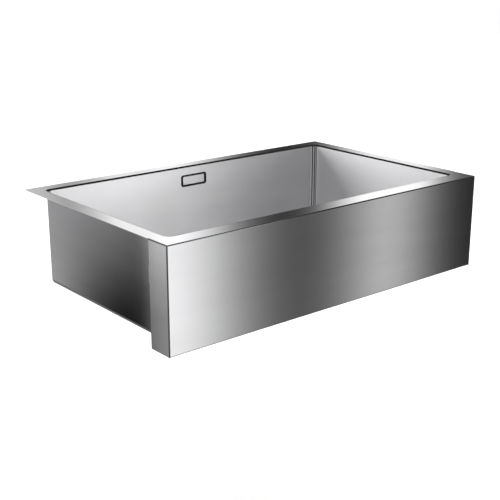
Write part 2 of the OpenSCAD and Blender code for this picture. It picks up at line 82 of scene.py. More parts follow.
def ramp(tree, source, stops):
    node = tree.nodes.new("ShaderNodeValToRGB")
    elements = node.color_ramp.elements
    while len(elements) < len(stops):
        elements.new(0.5)
    for element, (place, value) in zip(elements, stops):
        element.position = place
        shade = value if isinstance(value, tuple) else (value, value, value)
        element.color = (*shade, 1)
    link(tree, source, node.inputs[0])
    return node.outputs[0]


def blend(tree, factor, a, b):
    node = tree.nodes.new("ShaderNodeMix")
    node.data_type = "RGBA"
    for socket, value in ((node.inputs[0], factor), (node.inputs[6], a), (node.inputs[7], b)):
        if isinstance(value, (int, float)):
            socket.default_value = value
        elif isinstance(value, tuple):
            socket.default_value = (*value, 1)
        else:
            link(tree, value, socket)
    return node.outputs[2]


def span(tree, source, low, high):
    node = tree.nodes.new("ShaderNodeMapRange")
    node.interpolation_type = "SMOOTHSTEP"
    link(tree, source, node.inputs["Value"])
    node.inputs["From Min"].default_value = low
    node.inputs["From Max"].default_value = high
    return node.outputs[0]


def fade(tree, source, low, high, before, after):
    return blend(tree, span(tree, source, low, high), before, after)


def panel_row(tree, turn, stops):
    return ramp(tree, turn, [(angle / 90, shade / studio_strength) for angle, shade in stops])


studio_strength = 3.0
lean_from = 0.2
lean_rate = 0.67
world = bpy.data.worlds.new("studio")
world.use_nodes = True
scene.world = world
tree = world.node_tree
tree.nodes.clear()
direction = tree.nodes.new("ShaderNodeTexCoord")
parts = tree.nodes.new("ShaderNodeSeparateXYZ")
link(tree, direction.outputs["Generated"], parts.inputs[0])
across, along, up = parts.outputs
turn = maths(tree, "ARCTAN2", maths(tree, "ABSOLUTE", along), maths(tree, "ABSOLUTE", across))
turn = maths(tree, "DIVIDE", turn, math.pi / 2)
high = maths(tree, "MAXIMUM", maths(tree, "SUBTRACT", up, lean_from), 0)
lean = maths(tree, "MULTIPLY", maths(tree, "MULTIPLY", high, high), lean_rate)
turn_leaning_out = maths(tree, "ADD", turn, lean)
turn_leaning_in = maths(tree, "SUBTRACT", turn, lean)

right_back = panel_row(tree, turn, [
    (0, 0.6), (12, 0.8), (24, 0.5), (33, 0.22), (37.4, 0.08), (38.4, 0.22), (39.4, 0.66), (40.4, 1.3),
    (43.5, 1.4), (44.4, 1.0), (45.6, 0.42), (46.8, 0.1), (48.2, 0.04), (49.4, 0.06), (50.6, 0.16),
    (51.7, 0.36), (52.8, 0.72), (54.2, 1.15), (55.3, 1.4), (57, 1.1), (58.6, 1.1), (59.8, 0.7),
    (61.4, 0.42), (63, 0.65), (67, 0.85), (75, 0.7), (83, 1.05), (90, 0.9),
])
right_front_low = panel_row(tree, turn, [
    (0, 0.6), (12, 0.7), (24, 0.4), (33, 0.1), (37.4, 0.01), (38.4, 0.05), (39.4, 0.15), (40.4, 0.36),
    (41.5, 0.6), (42.5, 0.66), (43.5, 0.47), (44.6, 0.28), (45.7, 0.15), (47, 0.09), (48.4, 0.11),
    (50, 0.22), (51.1, 0.38), (52.2, 0.6), (53.3, 0.85), (54.8, 1.15), (57, 1.25), (60, 1.2), (64, 0.6),
    (70, 0.7), (80, 1.0), (90, 0.9),
])
right_front_level = panel_row(tree, turn_leaning_out, [
    (0, 0.6), (24, 0.5), (38, 0.3), (46, 0.22), (52.6, 0.25), (54, 1.0), (55.2, 4.5), (59.5, 4.2),
    (62, 3.0), (66, 1.8), (70, 1.2), (80, 1.2), (90, 1.0),
])
right_front_high = panel_row(tree, turn_leaning_out, [
    (0, 0.3), (12, 0.3), (24, 0.1), (33, 0.04), (38, 0.02), (46, 0.01), (52.8, 0.02), (54, 1.0),
    (55.2, 4.5), (59.5, 4.2), (62, 3.0), (66, 1.8), (70, 1.2), (80, 1.2), (90, 1.0),
])
left_front_high = panel_row(tree, turn, [
    (0, 0.9), (12, 0.5), (30, 0.8), (36, 2.4), (41, 2.8), (42.2, 0.02), (57, 0.02), (62, 0.25),
    (70, 0.4), (90, 0.5),
])
left_back_high = panel_row(tree, turn_leaning_in, [
    (0, 0.8), (15, 0.9), (28, 0.6), (36, 0.8), (38.6, 1.9), (40.4, 3.6), (46, 3.6), (47, 0.6),
    (51, 0.3), (54, 1.2), (60, 1.6), (66, 0.7), (78, 1.2), (90, 1.0),
])
left_low = panel_row(tree, turn, [
    (0, 0.5), (20, 0.6), (40, 0.5), (50, 0.6), (54, 0.85), (56.5, 0.85), (57.1, 0.28), (58.6, 0.38),
    (60.4, 0.5), (62, 0.65), (64, 0.8), (68, 0.8), (78, 0.7), (90, 0.6),
])
left_back_foot = panel_row(tree, turn, [
    (0, 0.4), (20, 0.5), (40, 0.3), (50, 0.4), (54, 0.35), (56.5, 0.32), (57, 0.01), (58.8, 0.01),
    (60.2, 0.08), (61.4, 0.32), (62.6, 0.75), (65, 0.8), (78, 0.5), (90, 0.4),
])

quarter_edge = 0.04
black = (0.0, 0.0, 0.0)
upper_wall = (0.05, 0.05, 0.05)
ceiling = (0.3, 0.3, 0.3)
ground = (0.2, 0.2, 0.2)
right_front = fade(tree, up, 0.27, 0.32, right_front_level, right_front_high)
right_front = fade(tree, up, -0.04, 0.08, right_front_low, right_front)
left_front = fade(tree, up, -0.12, 0.02, left_low, left_front_high)
in_front = fade(tree, across, -quarter_edge, quarter_edge, left_front, right_front)
left_back = fade(tree, up, -0.365, -0.255, left_back_foot, left_low)
left_back = fade(tree, up, -0.12, 0.02, left_back, left_back_high)
right_back_low = fade(tree, up, 0.0, 0.12, left_low, blend(tree, 0.5, right_back, black))
right_back = fade(tree, up, 0.185, 0.225, right_back_low, right_back)
behind = fade(tree, across, -quarter_edge, quarter_edge, left_back, right_back)
panels = fade(tree, along, -quarter_edge, quarter_edge, in_front, behind)
panels = fade(tree, up, 0.56, 0.66, panels, upper_wall)
panels = fade(tree, up, 0.84, 0.94, panels, ceiling)
panels = fade(tree, up, -0.42, -0.55, panels, ground)
studio = tree.nodes.new("ShaderNodeBackground")
studio.inputs["Strength"].default_value = studio_strength
link(tree, panels, studio.inputs["Color"])
white = tree.nodes.new("ShaderNodeBackground")
white.inputs["Color"].default_value = (1, 1, 1, 1)
white.inputs["Strength"].default_value = 1.0
either = tree.nodes.new("ShaderNodeMixShader")
light_path = tree.nodes.new("ShaderNodeLightPath")
link(tree, light_path.outputs["Is Camera Ray"], either.inputs[0])
link(tree, studio.outputs[0], either.inputs[1])
link(tree, white.outputs[0], either.inputs[2])
world_output = tree.nodes.new("ShaderNodeOutputWorld")
link(tree, either.outputs[0], world_output.inputs["Surface"])


# Floor: a pale matt ground, far enough below the hanging sink that its shadow stays soft.
# A wide soft light hangs over it. Neither of them shows in the steel, which mirrors the studio alone.
def plain_material(name):
    material = bpy.data.materials.new(name)
    material.use_nodes = True
    return material, material.node_tree, material.node_tree.nodes["Principled BSDF"]


def stored(bm, name):
    mesh = bpy.data.meshes.new(name)
    bm.to_mesh(mesh)
    bm.free()
    return mesh


ground_reach = 12
ground_z = -0.9

bm = bmesh.new()
bmesh.ops.create_grid(bm, x_segments=1, y_segments=1, size=ground_reach)
bmesh.ops.translate(bm, vec=(0, 0, ground_z), verts=bm.verts)
floor = bpy.data.objects.new("floor", stored(bm, "floor"))
scene.collection.objects.link(floor)
floor_material, tree, shader = plain_material("floor_white")
shader.inputs["Base Color"].default_value = (0.92, 0.92, 0.92, 1)
shader.inputs["Roughness"].default_value = 0.9
shader.inputs["Specular IOR Level"].default_value = 0.1
floor.data.materials.append(floor_material)
floor.visible_glossy = False

lamp = bpy.data.objects.new("ceiling_light", bpy.data.lights.new("ceiling_light", "SUN"))
lamp.data.angle = math.radians(70)
lamp.data.energy = 3.4
lamp.location = (0, 0, 3)
lamp.visible_glossy = False
scene.collection.objects.link(lamp)


# Bowl: 1.2 mm stainless sheet, pressed and folded, brushed inside and left dull outside. The overflow's
# slot is pierced in the back wall, and the recess for the waste is pressed into the floor. The last
# millimetre under the rim, where it is welded and ground, and a flat border round the slot are coloured
# near black as painted shade. The rounded corners inside carry painted reflection streaks, and the floor's
# bend outside is near-black steel as a painted dark reflection.
def round_off(bm, corners, radius, steps):
    return bmesh.ops.bevel(
        bm, geom=corners, offset=radius, segments=steps, profile=0.5, affect="VERTICES", material=-1,
    )["verts"]


def outline(bm, width, depth, radius, middle, steps=8):
    corners = bmesh.ops.create_grid(bm, x_segments=1, y_segments=1, size=0.5)["verts"]
    bmesh.ops.scale(bm, vec=(width, depth, 1), verts=corners)
    bmesh.ops.translate(bm, vec=middle, verts=corners)
    if radius:
        corners = round_off(bm, corners, radius, steps)
    return corners[0].link_faces[0]


def bend(bm, edges, radius, steps):
    bmesh.ops.bevel(
        bm, geom=edges, offset=radius, segments=steps, profile=0.5, affect="EDGES", material=-1,
        clamp_overlap=False,
    )


def edges_at(points):
    return list(dict.fromkeys(edge for point in points for edge in point.link_edges))


def ends_of(edges):
    return list(dict.fromkeys(end for edge in edges for end in edge.verts))


def outermost(bm, axis, sign):
    return max(bm.faces, key=lambda face: sign * face.calc_center_median()[axis])


def hoop(bm, radius, middle, steps):
    points = bmesh.ops.create_circle(bm, segments=steps, radius=radius)["verts"]
    bmesh.ops.translate(bm, vec=middle, verts=points)
    return edges_at(points)


def open_up(bm, face):
    border = list(face.edges)
    bmesh.ops.delete(bm, geom=[face], context="FACES_ONLY")
    return border


def fill(bm, *borders):
    edges = [edge for border in borders for edge in border]
    filled = bmesh.ops.triangle_fill(bm, use_beauty=True, use_dissolve=False, edges=edges)
    return [item for item in filled["geom"] if isinstance(item, bmesh.types.BMFace)]


def turned(bm, profile, steps, centre=(0, 0, 0), closed=True):
    middle_x, middle_y, base = centre
    points = [bm.verts.new((middle_x + radius, middle_y, base + height)) for radius, height in profile]
    nexts = points[1:] + points[:1] if closed else points[1:]
    lines = [bm.edges.new(pair) for pair in zip(points, nexts)]
    bmesh.ops.spin(
        bm, geom=points + lines, cent=centre, axis=(0, 0, 1), angle=2 * math.pi, steps=steps,
        use_merge=True,
    )
    bmesh.ops.remove_doubles(bm, verts=bm.verts, dist=0.0001)


def at_height(edges, z):
    return [edge for edge in edges if all(abs(end.co.z - z) < 0.001 for end in edge.verts)]


def open_at_height(edges, z):
    return [edge for edge in at_height(edges, z) if len(edge.link_faces) == 1]


def standing(x, y, z):
    return Matrix.Translation((x, y, z)) @ Matrix.Rotation(math.radians(90), 4, "X")


def move(bm, matrix, points=None):
    bmesh.ops.transform(bm, matrix=matrix, verts=points or bm.verts)


def face_towards(bm, axis, sign):
    bmesh.ops.recalc_face_normals(bm, faces=bm.faces)
    if sign * sum(face.normal[axis] * face.calc_area() for face in bm.faces) < 0:
        bmesh.ops.reverse_faces(bm, faces=bm.faces)


def thicken(bm, thickness):
    bm.normal_update()
    skin = set(bm.faces)
    bmesh.ops.solidify(bm, geom=list(bm.faces), thickness=thickness)
    bmesh.ops.recalc_face_normals(bm, faces=bm.faces)
    return skin


def is_flat(face):
    return max(abs(n) for n in face.normal) > 0.99999


def finish_mesh(bm, name, body, materials, replaced):
    sharp_angle = math.radians(35)
    to_metres = 0.001
    bm.normal_update()
    for face in bm.faces:
        face.smooth = True
    for edge in bm.edges:
        if len(edge.link_faces) != 2:
            edge.smooth = False
            continue
        one, other = edge.link_faces
        edge.smooth = edge.calc_face_angle(0) <= sharp_angle and is_flat(one) == is_flat(other)
    grain = bm.loops.layers.uv.new("grain")
    for face in bm.faces:
        normal = face.normal
        side = Vector((1, 0, 0))
        rise = Vector((0, 1, 0))
        if abs(normal.z) < 0.7:
            side = Vector((-normal.y, normal.x, 0)).normalized()
            rise = Vector((0, 0, 1))
        for corner in face.loops:
            corner[grain].uv = (corner.vert.co.dot(side) / 1000, corner.vert.co.dot(rise) / 1000)
    bmesh.ops.scale(bm, vec=(to_metres, to_metres, to_metres), verts=bm.verts)
    piece = bpy.data.objects.new(name, stored(bm, name))
    scene.collection.objects.link(piece)
    for material in materials:
        piece.data.materials.append(material)
    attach(piece, body)
    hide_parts(*replaced)


def noise(tree, vector, scale, detail, stretch=None):
    if stretch:
        mapping = tree.nodes.new("ShaderNodeMapping")
        mapping.inputs["Scale"].default_value = stretch
        link(tree, vector, mapping.inputs["Vector"])
        vector = mapping.outputs[0]
    node = tree.nodes.new("ShaderNodeTexNoise")
    node.inputs["Scale"].default_value = scale
    node.inputs["Detail"].default_value = detail
    link(tree, vector, node.inputs["Vector"])
    return node.outputs["Fac"]


def object_place(tree):
    return tree.nodes.new("ShaderNodeTexCoord").outputs["Object"]


def coat(tree, shader, tone, stops, grain, smooth, rough):
    link(tree, ramp(tree, tone, stops), shader.inputs["Base Color"])
    spread = maths(tree, "MULTIPLY_ADD", grain, rough - smooth, smooth)
    link(tree, spread, shader.inputs["Roughness"])


def bump(tree, shader, height, distance):
    node = tree.nodes.new("ShaderNodeBump")
    node.inputs["Strength"].default_value = 1.0
    node.inputs["Distance"].default_value = distance
    link(tree, height, node.inputs["Height"])
    link(tree, node.outputs[0], shader.inputs["Normal"])


def brushed_steel(name, bright, dark, smooth, rough, stretch):
    material, tree, shader = plain_material(name)
    place = tree.nodes.new("ShaderNodeUVMap")
    place.uv_map = "grain"
    tangent = tree.nodes.new("ShaderNodeTangent")
    tangent.direction_type = "UV_MAP"
    tangent.uv_map = "grain"
    link(tree, tangent.outputs[0], shader.inputs["Tangent"])
    lines = noise(tree, place.outputs[0], 1, 3, (14, 2600, 1))
    drifts = noise(tree, place.outputs[0], 1, 2, (3, 24, 1))
    shader.inputs["Metallic"].default_value = 1
    shader.inputs["Anisotropic"].default_value = stretch
    shader.inputs["Anisotropic Rotation"].default_value = 0.25
    coat(tree, shader, drifts, [(0.3, dark), (0.7, bright)], lines, smooth, rough)
    bump(tree, shader, lines, 0.000004)
    return material


# Painted reflection streaks: bands of light and dark steel set by the angle round each rounded corner,
# over a fine real grain.
def corner_with_painted_reflection(half_width, half_depth, middle_y):
    material, tree, shader = plain_material("steel_corner_painted_reflection_streaks")
    place = object_place(tree)
    parts = tree.nodes.new("ShaderNodeSeparateXYZ")
    link(tree, place, parts.inputs[0])
    out_x = maths(tree, "SUBTRACT", maths(tree, "ABSOLUTE", parts.outputs[0]), half_width / 1000)
    from_middle = maths(tree, "ABSOLUTE", maths(tree, "SUBTRACT", parts.outputs[1], middle_y / 1000))
    out_y = maths(tree, "SUBTRACT", from_middle, half_depth / 1000)
    turn = maths(tree, "DIVIDE", maths(tree, "ARCTAN2", out_y, out_x), math.pi / 2)
    painted_reflection_bands = [
        (0.0, 0.8), (0.1, 0.8), (0.15, 0.3), (0.2, 0.15), (0.25, 0.95), (0.32, 0.95), (0.36, 0.12),
        (0.44, 0.12), (0.5, 0.75), (0.6, 0.85), (0.65, 0.06), (0.76, 0.06), (0.8, 1.0), (0.97, 1.0),
        (1.0, 0.8),
    ]
    grain = noise(tree, place, 1, 3, (900, 900, 14))
    shader.inputs["Metallic"].default_value = 1
    coat(tree, shader, turn, painted_reflection_bands, grain, 0.15, 0.25)
    bump(tree, shader, grain, 0.000004)
    return material


# Painted shade: a near-black finish for the band under the rim's opening and the border round the slot.
def painted_shade_band():
    material, tree, shader = plain_material("painted_shade_dark")
    grain = noise(tree, object_place(tree), 800, 3)
    coat(tree, shader, grain, [(0.3, 0.006), (0.7, 0.014)], grain, 0.5, 0.6)
    shader.inputs["Specular IOR Level"].default_value = 0.12
    bump(tree, shader, grain, 0.00001)
    return material


sheet = 1.2
bowl_width = 740
bowl_depth = 430
bowl_y = 5
bowl_back = bowl_y + bowl_depth / 2
corner_r = 12
floor_bend_r = 9
floor_z = -193.8
recess_depth = 3
seam_z = -0.5
painted_shade_foot = -1.4
slot_width = 66
slot_height = 23
slot_r = 3.5
slot_z = -31.3
slot_painted_shade_margin = 1.5
waste_y = 100

steel_inside = brushed_steel("steel_brushed_bowl", (0.9, 0.9, 0.91), (0.86, 0.86, 0.87), 0.36, 0.42, 1.0)
steel_dull = brushed_steel("steel_dull_outside", (0.42, 0.42, 0.43), (0.38, 0.38, 0.39), 0.05, 0.08, 0.9)
corner_steel_painted_streaks = corner_with_painted_reflection(bowl_width / 2 - corner_r, bowl_depth / 2 - corner_r, bowl_y)
painted_shade_finish = painted_shade_band()
# Near-black steel for the bends and folds, as a painted dark reflection.
steel_fold_painted_dark = brushed_steel("steel_fold_painted_dark_reflection", (0.14, 0.14, 0.145), (0.1, 0.1, 0.105), 0.12, 0.2, 0.0)

bm = bmesh.new()
room = bmesh.ops.create_cube(bm, size=1)["verts"]
bmesh.ops.scale(bm, vec=(bowl_width, bowl_depth, seam_z - floor_z), verts=room)
bmesh.ops.translate(bm, vec=(0, bowl_y, (seam_z + floor_z) / 2), verts=room)
open_up(bm, outermost(bm, 2, 1))
upright_edges = [edge for edge in bm.edges if edge.verts[0].co.xy == edge.verts[1].co.xy]
bend(bm, upright_edges, corner_r, 8)
bend(bm, at_height(bm.edges, floor_z), floor_bend_r, 8)
wall_border = open_up(bm, outermost(bm, 1, 1))
slot_rings = []
# A flat band 2 mm wide round the slot, which carries the painted shade.
for grown in (2, 0):
    ring = outline(bm, slot_width + 2 * grown, slot_height + 2 * grown, slot_r + grown, (0, 0, 0), 5)
    move(bm, standing(0, bowl_back, slot_z), ring.verts[:])
    slot_rings.append(open_up(bm, ring))
fill(bm, wall_border, slot_rings[0])
bmesh.ops.bridge_loops(bm, edges=slot_rings[0] + slot_rings[1])
floor_face = min(bm.faces, key=lambda face: (face.calc_center_median().z, -face.calc_area()))
floor_border = open_up(bm, floor_face)
before = set(bm.edges)
recess = [(62.4, recess_depth), (61.4, 2.7), (60.7, 2), (58.4, 0.8), (57.6, 0.2), (56.6, 0), (44.5, 0)]
turned(bm, recess, 64, (0, waste_y, floor_z - recess_depth), closed=False)
recess_border = [edge for edge in open_at_height(bm.edges, floor_z) if edge not in before]
fill(bm, floor_border, recess_border)
whole = bm.verts[:] + bm.edges[:] + bm.faces[:]
bmesh.ops.bisect_plane(bm, geom=whole, plane_co=(0, 0, painted_shade_foot), plane_no=(0, 0, 1))
face_towards(bm, 2, 1)
inside = thicken(bm, sheet)
bm.normal_update()
brushed, dull, painted_streaks, dark, folded = range(5)
for face in bm.faces:
    middle = face.calc_center_median()
    beside_slot = abs(middle.x) < slot_width / 2 + slot_painted_shade_margin
    at_slot = beside_slot and abs(middle.z - slot_z) < slot_height / 2 + slot_painted_shade_margin
    slot_painted_shade = at_slot and middle.y > bowl_back - 1
    if face in inside:
        # The rounded corners inside get the painted reflection streaks.
        corner = abs(middle.x) > 300 and min(abs(face.normal.x), abs(face.normal.y)) > 0.02
        face.material_index = painted_streaks if corner else brushed
        # The band under the rim and the border round the slot get the painted shade.
        if slot_painted_shade or middle.z > painted_shade_foot:
            face.material_index = dark
    else:
        # The floor's bend outside gets the near-black steel, a painted dark reflection.
        floor_bend = middle.z < floor_z + floor_bend_r and abs(face.normal.z) < 0.99
        face.material_index = folded if floor_bend else dull
        # The slot's cut edges get the painted shade too.
        if slot_painted_shade and abs(face.normal.y) < 0.5:
            face.material_index = dark
finishes_of_bowl = [steel_inside, steel_dull, corner_steel_painted_streaks, painted_shade_finish, steel_fold_painted_dark]
finish_mesh(bm, "bowl_sheet", "sink", finishes_of_bowl, ["bowl"])


# Rim: one flat sheet, its opening bent down 2.7 mm, welded to the bowl and polished over.
# Its front and the front of its sides fold down into the apron on a 2 mm bend.
def pull(bm, edges, shift):
    grown = bmesh.ops.extrude_edge_only(bm, edges=edges)["geom"]
    points = [item for item in grown if isinstance(item, bmesh.types.BMVert)]
    bmesh.ops.translate(bm, vec=shift, verts=points)
    return [item for item in grown if isinstance(item, bmesh.types.BMEdge)]


def fold_round(bm, edges, centre, axis):
    last = bmesh.ops.spin(
        bm, geom=ends_of(edges) + edges, cent=centre, axis=axis, angle=math.pi / 2, steps=6,
        use_merge=False,
    )["geom_last"]
    return [item for item in last if isinstance(item, bmesh.types.BMEdge)]


steel_rim = brushed_steel("steel_brushed_rim", (0.76, 0.76, 0.77), (0.72, 0.72, 0.73), 0.09, 0.12, 0.2)
rim_top = 2.2
rim_x = 400
rim_y = 250
fold_r = 2
fold_x = rim_x - fold_r
fold_y = fold_r - rim_y
fold_z = rim_top - fold_r
return_y = -194
flat_margin = 10
inner_bend_r = 2.65

bm = bmesh.new()
flat_opening, opening = [
    open_up(bm, outline(
        bm, bowl_width + 2 * grown, bowl_depth + 2 * grown, corner_r + grown, (0, bowl_y, rim_top),
    ))
    for grown in (flat_margin, 0)
]
bmesh.ops.bridge_loops(bm, edges=flat_opening + opening)
pull(bm, opening, (0, 0, seam_z - rim_top))
bend(bm, opening, inner_bend_r, 6)
right_side = [(fold_x, fold_y), (fold_x, return_y), (rim_x, return_y), (rim_x, rim_y)]
plan = right_side + [(-x, y) for x, y in reversed(right_side)]
flat = bm.faces.new([bm.verts.new((x, y, rim_top)) for x, y in plan])
round_off(bm, [corner for corner in flat.verts if corner.co.y > rim_y - 1], 2, 4)
border = open_up(bm, max(bm.faces, key=lambda face: len(face.verts)))
fill(bm, border, flat_opening)
front_edges = [edge for edge in border if max(end.co.y for end in edge.verts) < return_y + 0.1]
for edge in [edge for edge in front_edges if edge.calc_length() > 3]:
    middle = (edge.verts[0].co + edge.verts[1].co) / 2
    axis = (1, 0, 0) if abs(middle.x) < 1 else (0, math.copysign(1, middle.x), 0)
    fold_round(bm, [edge], (middle.x, middle.y, fold_z), axis)
for side in (-1, 1):
    end_arc = [
        edge for edge in bm.edges
        if all(side * end.co.x > fold_x - 0.1 and abs(end.co.y - fold_y) < 0.001 for end in edge.verts)
    ]
    fold_round(bm, end_arc, (side * fold_x, fold_y, fold_z), (0, 0, -side))
bmesh.ops.remove_doubles(bm, verts=bm.verts, dist=0.001)
brushed, dark, folded = range(3)
for face in bm.faces:
    middle = face.calc_center_median()
    # The bend round the opening gets the painted shade, and the front folds get the painted dark
    # reflection.
    at_opening = abs(middle.x) < 380 and middle.y > -230
    face.material_index = dark if at_opening else folded
    if middle.z > rim_top - 0.0001:
        face.material_index = brushed
face_towards(bm, 2, 1)
thicken(bm, sheet)
finish_mesh(bm, "rim_sheet", "sink", [steel_rim, painted_shade_finish, steel_fold_painted_dark], ["deck"])


# Apron: the same sheet, folded back at both sides and ending in a lip behind each return.
# A flange along its lower edge has two screw holes for the cabinet.
steel_apron = brushed_steel("steel_brushed_apron", (0.76, 0.76, 0.77), (0.72, 0.72, 0.73), 0.08, 0.12, 0.9)
apron_foot = -197.8
lip_x = 388
flange_depth = 18
flange_hole_x = 300
flange_hole_y = -239.4
front_length = 700

bm = bmesh.new()
right_side = [(rim_x, -rim_y), (rim_x, return_y), (lip_x, return_y)]
plan = [(-x, y) for x, y in reversed(right_side)] + right_side
flat = bm.faces.new([bm.verts.new((x, y, fold_z)) for x, y in plan])
round_off(bm, [corner for corner in flat.verts if abs(corner.co.x) > rim_x - 1], fold_r, 6)
border = open_up(bm, max(bm.faces, key=lambda face: len(face.verts)))
gap = [edge for edge in border if edge.calc_length() > front_length and edge.verts[0].co.y > -200]
bmesh.ops.delete(bm, geom=gap, context="EDGES")
border = [edge for edge in border if edge.is_valid]
lower = pull(bm, border, (0, 0, apron_foot + fold_r - fold_z))
front = [edge for edge in lower if edge.calc_length() > front_length]
pull(bm, [edge for edge in lower if edge not in front], (0, 0, -fold_r))
flange_edge = fold_round(bm, front, (0, fold_y, apron_foot + fold_r), (1, 0, 0))
pull(bm, flange_edge, (0, flange_depth, 0))
flange = min(bm.faces, key=lambda face: (round(face.calc_center_median().z, 3), -face.calc_area()))
flange_border = open_up(bm, flange)
holes = [hoop(bm, 2.25, (x, flange_hole_y, apron_foot), 24) for x in (-flange_hole_x, flange_hole_x)]
fill(bm, flange_border, *holes)
face_towards(bm, 1, -1)
brushed, folded = range(2)
# Flat faces are brushed, and the bends get near-black steel as a painted dark reflection.
for face in bm.faces:
    face.material_index = brushed if is_flat(face) else folded
thicken(bm, sheet)
finish_mesh(bm, "apron_sheet", "sink", [steel_apron, steel_fold_painted_dark], ["apron"])


# Overflow cover: a plain bare plate that fills the slot but for a dark gap. Two pins on its back push into
# the housing's sockets, so that it pulls off for cleaning.
def raise_faces(bm, faces, shift):
    grown = bmesh.ops.extrude_face_region(bm, geom=faces)["geom"]
    points = [item for item in grown if isinstance(item, bmesh.types.BMVert)]
    bmesh.ops.translate(bm, vec=shift, verts=points)


steel_cover = brushed_steel("steel_brushed_cover", (0.88, 0.88, 0.89), (0.84, 0.84, 0.85), 0.28, 0.34, 1.0)
cover_t = 1.5
pin_x = 22

bm = bmesh.new()
raise_faces(bm, [outline(bm, 58, 18, 1, (0, 0, 0), 5)], (0, 0, cover_t))
bend(bm, at_height(bm.edges, cover_t), 0.35, 3)
pin = [(0, -15.2), (1.6, -15.2), (2, -14.8), (2, 0.5), (0, 0.5)]
for x in (-pin_x, pin_x):
    turned(bm, pin, 24, (x, 0, 0), closed=False)
bmesh.ops.recalc_face_normals(bm, faces=bm.faces)
move(bm, standing(0, 221.7, slot_z))
finish_mesh(bm, "overflow_cover_plate", "overflow_cover_plate", [steel_cover], ["overflow_cover"])


# Small metal parts: pressed, turned or plated, each with a fine even grain. Rubber and plastic parts are
# moulded, with pores too small to see from far off.
def fine_metal(name, colour, smooth, rough):
    material, tree, shader = plain_material(name)
    specks = noise(tree, object_place(tree), 900, 3)
    shader.inputs["Metallic"].default_value = 1
    darker = tuple(value * 0.9 for value in colour)
    coat(tree, shader, specks, [(0.35, darker), (0.65, colour)], specks, smooth, rough)
    bump(tree, shader, specks, 0.00001)
    return material


def moulded(name, colour, roughness, grain, depth):
    material, tree, shader = plain_material(name)
    pores = noise(tree, object_place(tree), grain, 4)
    lighter = tuple(min(1, value * 1.35) for value in colour)
    stops = [(0.3, colour), (0.75, lighter)]
    coat(tree, shader, pores, stops, pores, roughness - 0.1, roughness + 0.1)
    bump(tree, shader, pores, depth)
    return material


finishes = {
    "steel": fine_metal("steel_pressed", (0.66, 0.66, 0.67), 0.22, 0.34),
    "zinc": fine_metal("zinc_plated", (0.6, 0.62, 0.64), 0.28, 0.42),
    "brass": fine_metal("brass_turned", (0.78, 0.6, 0.28), 0.2, 0.32),
    "rubber": moulded("rubber_black", (0.025, 0.025, 0.026), 0.62, 700, 0.00002),
    "plastic": moulded("plastic_dark", (0.018, 0.018, 0.019), 0.5, 500, 0.000015),
}


def finish_small(bm, node, body, slot, material=None):
    bmesh.ops.recalc_face_normals(bm, faces=bm.faces)
    finish_mesh(bm, node + "_piece", body, [material or finishes[slot]], [node])


# Braces: three Z-folded strips of the same sheet. They stiffen the apron's face, spot-welded to its back
# and to the bowl's front wall.
def folded_strip(bm, path, across, radii):
    points = [bm.verts.new(point) for point in path]
    lines = [bm.edges.new(pair) for pair in zip(points, points[1:])]
    pull(bm, lines, across)
    for corner, radius in zip(points[1:-1], radii):
        bends = [edge for edge in corner.link_edges if len(edge.link_faces) == 2]
        bend(bm, bends, radius, 4)


brace_front = -248.8
brace_back = -212.4
brace_foot = -158.4
brace_height = 120
brace_wing = 20

bm = bmesh.new()
for x in (-240, 0, 240):
    web = x + sheet / 2
    front_wing = [(x - brace_wing, brace_front), (web, brace_front)]
    back_wing = [(web, brace_back), (x + brace_wing, brace_back)]
    brace = bmesh.new()
    path = [(*point, brace_foot) for point in front_wing + back_wing]
    folded_strip(brace, path, (0, 0, brace_height), (2, 0.8))
    face_towards(brace, 0, 1)
    thicken(brace, sheet)
    bm.from_mesh(stored(brace, "brace_strip"))
finish_small(bm, "apron_braces", "sink", "zinc")


# Earthing tag: a strip of the same sheet, folded down and welded under the front of the floor.
# The earth wire's eyelet is screwed to it through its hole.
under_floor = floor_z - sheet
tag_y = -120
tag_foot = -211

bm = bmesh.new()
path = [(-7, -106, under_floor), (-7, tag_y, under_floor), (-7, tag_y, tag_foot)]
folded_strip(bm, path, (14, 0, 0), (1.8,))
tag = outermost(bm, 2, -1)
round_off(bm, [corner for corner in tag.verts if corner.co.z < tag_foot + 1], 3, 4)
tag_border = open_up(bm, outermost(bm, 2, -1))
tag_hole = hoop(bm, 2.65, (0, 0, 0), 20)
move(bm, standing(0, tag_y, -205), ends_of(tag_hole))
fill(bm, tag_border, tag_hole)
face_towards(bm, 1, -1)
thicken(bm, sheet)
finish_small(bm, "earth_tag", "sink", "zinc")


# Sound pads: two sheets of bitumen glued under the floor, which keep it from ringing.
# They are pressed with a grid of shallow squares.
def pressed_pad():
    material, tree, shader = plain_material("bitumen_pressed")
    place = object_place(tree)
    parts = tree.nodes.new("ShaderNodeSeparateXYZ")
    link(tree, place, parts.inputs[0])
    heights = []
    for source in parts.outputs[:2]:
        wave = maths(tree, "ABSOLUTE", maths(tree, "SINE", maths(tree, "MULTIPLY", source, 400)))
        heights.append(span(tree, wave, 0.05, 0.35))
    squares = maths(tree, "MULTIPLY", *heights)
    pores = noise(tree, place, 600, 4)
    shades = [(0.3, (0.03, 0.03, 0.031)), (0.75, (0.05, 0.05, 0.051))]
    coat(tree, shader, pores, shades, pores, 0.6, 0.8)
    bump(tree, shader, maths(tree, "MULTIPLY_ADD", pores, 0.1, squares), 0.0004)
    return material


pad_finish = pressed_pad()
pad_width = 250
pad_depth = 330
pad_from_middle = 205
pad_t = 2.5

for side, name in ((-1, "floor_pad_left"), (1, "floor_pad_right")):
    bm = bmesh.new()
    middle = (side * pad_from_middle, bowl_y, under_floor)
    raise_faces(bm, [outline(bm, pad_width, pad_depth, 12, middle, 6)], (0, 0, -pad_t))
    bend(bm, at_height(bm.edges, under_floor - pad_t), 0.8, 3)
    finish_small(bm, name, "sink", "rubber", pad_finish)


